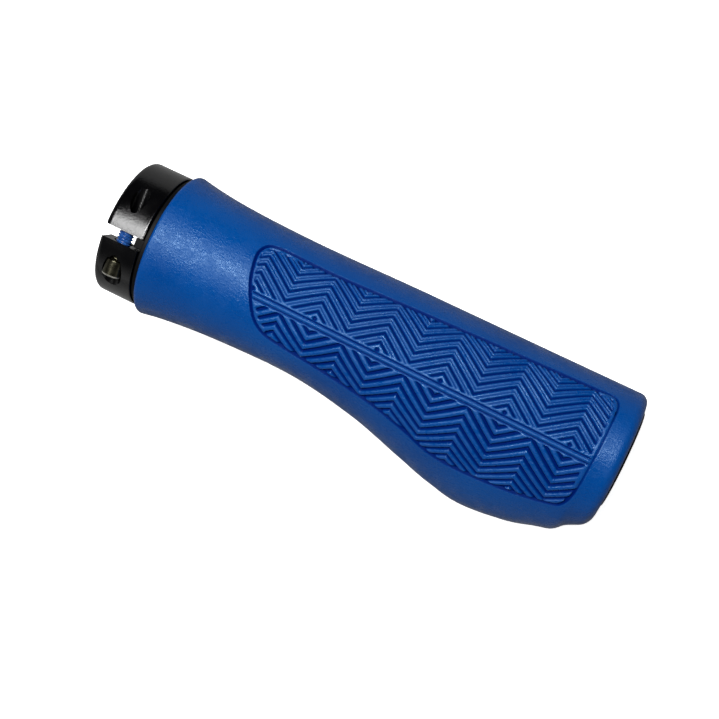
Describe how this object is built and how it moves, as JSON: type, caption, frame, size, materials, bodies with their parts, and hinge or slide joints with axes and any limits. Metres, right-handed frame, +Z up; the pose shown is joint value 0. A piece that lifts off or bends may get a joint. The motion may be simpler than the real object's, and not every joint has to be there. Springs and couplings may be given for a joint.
{
  "type": "handlebar grip",
  "caption": "Ergonomic lock-on bicycle grip for the right hand: ribbed rubber sleeve with a palm wing, zigzag tread panel, stiff core, inboard clamp ring with cross screw, and end plug",
  "frame": {"origin": "middle of the grip's footprint, on the surface it lies on", "axes": "+X runs along the handlebar towards its open end, +Y points away from the palm wing, +Z is up out of the tread panel"},
  "size_m": [0.13, 0.0446, 0.0357],
  "materials": {
    "sleeve_rubber": "satin moulded",
    "core_nylon": "moulded",
    "collar_aluminium": "black anodised",
    "screw_steel": "black oxide",
    "plug_nylon": "moulded"
  },
  "bodies": {
    "root": {"grip_sleeve": "sleeve_rubber", "core_tube": "core_nylon", "lock_collar": "collar_aluminium", "clamp_screw": "screw_steel", "end_plug": "plug_nylon"}
  },
  "joints": []
}
